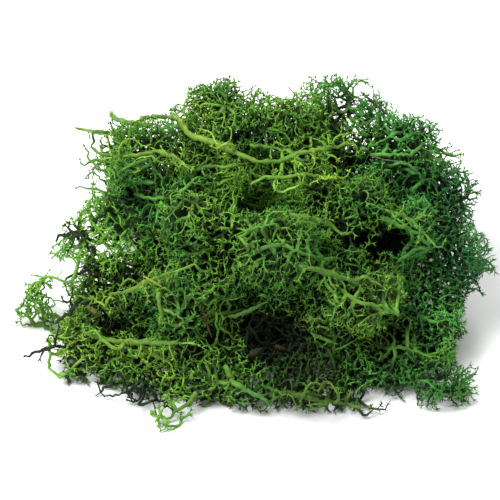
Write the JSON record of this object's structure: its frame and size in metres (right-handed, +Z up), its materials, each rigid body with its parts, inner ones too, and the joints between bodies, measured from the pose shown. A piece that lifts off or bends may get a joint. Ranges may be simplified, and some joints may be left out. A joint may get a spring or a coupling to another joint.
{
  "type": "preserved reindeer lichen",
  "caption": "Loose springy clump of green-dyed reindeer lichen: tangled tufts of fine forked twigs, pale main stems lying over them, dark hollows between, and a little forest litter.",
  "frame": {"origin": "middle of the clump's footprint, on the surface it rests on", "axes": "+X to the right as the front is looked at, along the clump's longest side; +Y away from the front, towards the back; +Z up, along its shortest side"},
  "size_m": [0.152, 0.133, 0.0746],
  "materials": {
    "lichen_tufts": "matte",
    "lichen_stems": "matte",
    "litter": "matte"
  },
  "bodies": {
    "root": {"leaf_scrap_brown": "litter", "leaf_scrap_olive": "litter", "needle_brown": "litter", "stem_broken": "lichen_stems", "stem_centre_low": "lichen_stems", "stem_front_left": "lichen_stems", "stem_front_left_fork": "lichen_stems", "stem_front_olive": "lichen_stems", "stem_hollow_bow": "lichen_stems", "stem_left_bow": "lichen_stems", "stem_left_fork": "lichen_stems", "stem_long_top": "lichen_stems", "stem_long_top_end": "lichen_stems", "stem_middle": "lichen_stems", "stem_right_upper": "lichen_stems", "stem_top_left_tip": "lichen_stems", "stem_upper_left": "lichen_stems", "tuft_back_corner_right": "lichen_tufts", "tuft_back_left": "lichen_tufts", "tuft_back_low_left": "lichen_tufts", "tuft_back_low_middle": "lichen_tufts", "tuft_back_low_right": "lichen_tufts", "tuft_back_middle_left": "lichen_tufts", "tuft_back_middle_right": "lichen_tufts", "tuft_back_right": "lichen_tufts", "tuft_back_top_left": "lichen_tufts", "tuft_back_top_right": "lichen_tufts", "tuft_centre": "lichen_tufts", "tuft_centre_right": "lichen_tufts", "tuft_edge_right_high": "lichen_tufts", "tuft_edge_right_low": "lichen_tufts", "tuft_far_left": "lichen_tufts", "tuft_front_left": "lichen_tufts", "tuft_front_left_corner": "lichen_tufts", "tuft_front_middle": "lichen_tufts", "tuft_front_olive": "lichen_tufts", "tuft_front_right": "lichen_tufts", "tuft_front_right_corner": "lichen_tufts", "tuft_front_right_low": "lichen_tufts", "tuft_front_sprig": "lichen_tufts", "tuft_front_tip": "lichen_tufts", "tuft_hollow_floor": "lichen_tufts", "tuft_inner_left": "lichen_tufts", "tuft_lacy_left": "lichen_tufts", "tuft_middle_left": "lichen_tufts", "tuft_olive_left": "lichen_tufts", "tuft_right": "lichen_tufts", "tuft_right_low": "lichen_tufts", "tuft_right_of_centre": "lichen_tufts", "tuft_top_left": "lichen_tufts", "tuft_top_notch": "lichen_tufts", "tuft_top_right": "lichen_tufts", "tuft_under_left": "lichen_tufts", "tuft_under_right": "lichen_tufts", "tuft_under_stems": "lichen_tufts", "tuft_upper_left": "lichen_tufts", "tuft_upper_middle": "lichen_tufts", "tuft_upper_right": "lichen_tufts", "twig_brown": "litter"}
  },
  "joints": []
}
